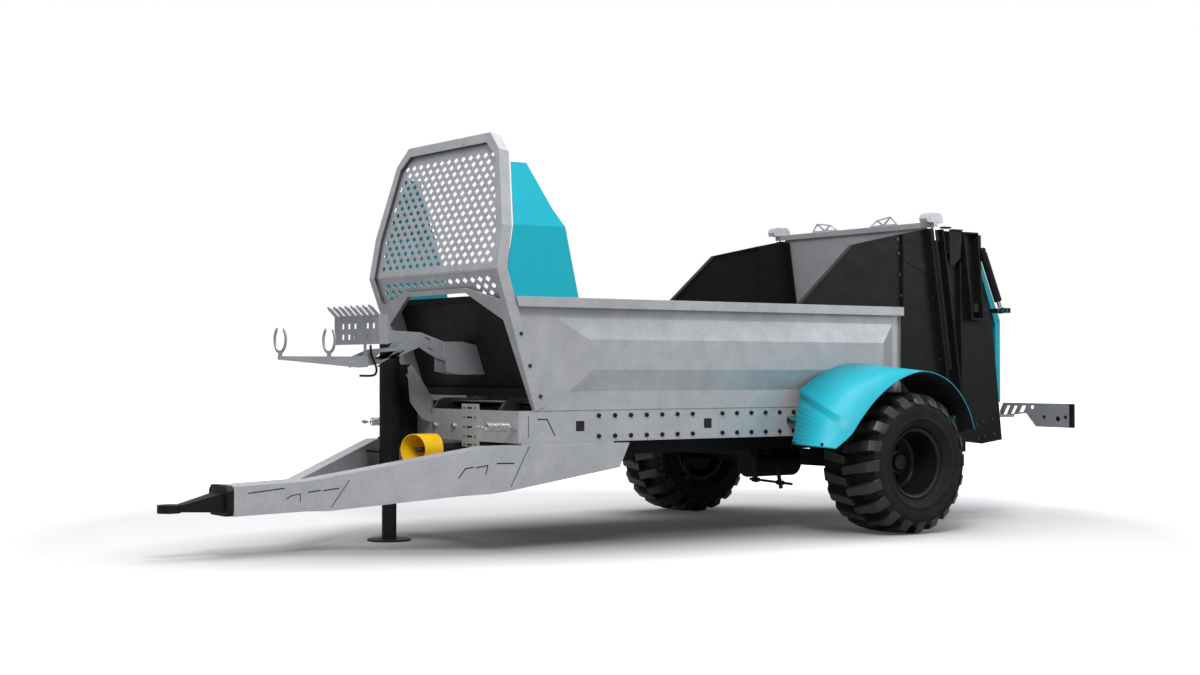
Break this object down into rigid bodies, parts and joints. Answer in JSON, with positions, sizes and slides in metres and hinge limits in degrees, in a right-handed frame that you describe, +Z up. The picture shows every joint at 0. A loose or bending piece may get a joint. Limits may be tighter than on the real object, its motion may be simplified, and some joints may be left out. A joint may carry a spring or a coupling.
{
  "type": "manure spreader",
  "caption": "Towed rear-discharge manure spreader with galvanised hopper, front guard, slide gate, beaters and discs under a swing-up hood",
  "frame": {"origin": "centre of the footprint at ground level", "axes": "+X forward towards the tow eye, +Y left, +Z up"},
  "size_m": [6.291, 2.74, 2.5076],
  "materials": {
    "tyre": "matt black rubber",
    "yellow_plastic": "glossy yellow guard plastic",
    "chromed_rod": "hard chromed ram rods",
    "bare_steel": "bare dark steel",
    "galvanised": "hot-dip galvanised, mottled grey",
    "teal_paint": "teal gloss paint",
    "black_paint": "satin black paint"
  },
  "bodies": {
    "frame": {"pto_guard": "yellow_plastic", "hopper_floor": "bare_steel", "scraper_floor": "bare_steel", "chassis_frame": "galvanised", "drawbar": "galvanised", "hopper_side_left": "galvanised", "hopper_side_right": "galvanised", "front_guard": "galvanised", "guard_screen": "galvanised", "jack_stay": "galvanised", "lamp_board_left": "galvanised", "lamp_board_right": "galvanised", "hose_arm": "galvanised", "hose_rack": "galvanised", "side_panel_left": "teal_paint", "side_panel_right": "teal_paint", "fender_left": "teal_paint", "fender_right": "teal_paint", "axle": "black_paint", "axle_frame": "black_paint", "tow_eye": "black_paint", "jack_tube": "black_paint", "front_wall": "black_paint", "rear_extension_left": "black_paint", "rear_extension_right": "black_paint", "spreader_side_left": "black_paint", "spreader_side_right": "black_paint", "rear_top_beam": "black_paint", "gate_barrel_left": "black_paint", "gate_barrel_right": "black_paint", "spreader_table": "black_paint", "drive_tube": "black_paint", "air_tank": "black_paint"},
    "wheel_left": {"tyre_left": "tyre", "rim_left": "black_paint"},
    "wheel_right": {"tyre_right": "tyre", "rim_right": "black_paint"},
    "jack_leg": {"jack_leg": "black_paint"},
    "slide_gate": {"slide_gate": "galvanised", "gate_rod_left": "chromed_rod", "gate_rod_right": "chromed_rod"},
    "rear_hood": {"rear_hood": "teal_paint"},
    "hood_barrel_left": {"hood_barrel_left": "black_paint"},
    "hood_barrel_right": {"hood_barrel_right": "black_paint"},
    "hood_rod_left": {"hood_rod_left": "chromed_rod"},
    "hood_rod_right": {"hood_rod_right": "chromed_rod"},
    "beater_upper": {"beater_upper": "black_paint"},
    "beater_lower": {"beater_lower": "black_paint"},
    "disc_left": {"disc_left": "bare_steel"},
    "disc_right": {"disc_right": "bare_steel"},
    "input_shaft": {"input_shaft": "bare_steel"}
  },
  "joints": [
    {"name": "wheel_left_spin", "type": "hinge", "parent": "frame", "child": "wheel_left", "pos_m": [-1.5055, 1.12, 0.465], "axis": [0, 1, 0], "continuous": true},
    {"name": "wheel_right_spin", "type": "hinge", "parent": "frame", "child": "wheel_right", "pos_m": [-1.5055, -1.12, 0.465], "axis": [0, 1, 0], "continuous": true},
    {"name": "jack_lift", "type": "slide", "parent": "frame", "child": "jack_leg", "axis": [0, 0, 1], "range_m": [0, 0.28]},
    {"name": "gate_lift", "type": "slide", "parent": "frame", "child": "slide_gate", "axis": [0.1564, 0, 0.9877], "range_m": [0, 0.75]},
    {"name": "hood_open", "type": "hinge", "parent": "frame", "child": "rear_hood", "pos_m": [-2.7555, 0, 2.05], "axis": [0, 1, 0], "range_deg": [0, 70]},
    {"name": "hood_barrel_left_swing", "type": "hinge", "parent": "frame", "child": "hood_barrel_left", "pos_m": [-2.7155, 0.8, 1.93], "axis": [0, 1, 0], "range_deg": [0, 73.28]},
    {"name": "hood_rod_left_slide", "type": "slide", "parent": "hood_barrel_left", "child": "hood_rod_left", "axis": [-0.4196, 0, -0.9077], "range_m": [0, 0.1438]},
    {"name": "hood_barrel_right_swing", "type": "hinge", "parent": "frame", "child": "hood_barrel_right", "pos_m": [-2.7155, -0.8, 1.93], "axis": [0, 1, 0], "range_deg": [0, 73.28]},
    {"name": "hood_rod_right_slide", "type": "slide", "parent": "hood_barrel_right", "child": "hood_rod_right", "axis": [-0.4196, 0, -0.9077], "range_m": [0, 0.1438]},
    {"name": "beater_lower_spin", "type": "hinge", "parent": "frame", "child": "beater_lower", "pos_m": [-2.6605, 0, 1.27], "axis": [0, 1, 0], "continuous": true},
    {"name": "beater_upper_spin", "type": "hinge", "parent": "frame", "child": "beater_upper", "pos_m": [-2.5905, 0, 1.72], "axis": [0, 1, 0], "continuous": true},
    {"name": "disc_left_spin", "type": "hinge", "parent": "frame", "child": "disc_left", "pos_m": [-2.8155, 0.385, 0.62], "axis": [0, 0, 1], "continuous": true},
    {"name": "disc_right_spin", "type": "hinge", "parent": "frame", "child": "disc_right", "pos_m": [-2.8155, -0.385, 0.62], "axis": [0, 0, 1], "continuous": true},
    {"name": "input_shaft_spin", "type": "hinge", "parent": "frame", "child": "input_shaft", "pos_m": [1.4945, 0, 0.583], "axis": [1, 0, 0], "continuous": true}
  ],
  "couplings": [
    {"joint": "hood_barrel_left_swing", "follows": "hood_open", "ratio": 1.0397},
    {"joint": "hood_rod_left_slide", "follows": "hood_open", "m_per_rad": 0.11686},
    {"joint": "hood_barrel_right_swing", "follows": "hood_open", "ratio": 1.0397},
    {"joint": "hood_rod_right_slide", "follows": "hood_open", "m_per_rad": 0.11686},
    {"joint": "beater_upper_spin", "follows": "beater_lower_spin", "ratio": 1},
    {"joint": "disc_left_spin", "follows": "beater_lower_spin", "ratio": 1.3},
    {"joint": "disc_right_spin", "follows": "beater_lower_spin", "ratio": -1.3},
    {"joint": "input_shaft_spin", "follows": "beater_lower_spin", "ratio": 1.2}
  ]
}
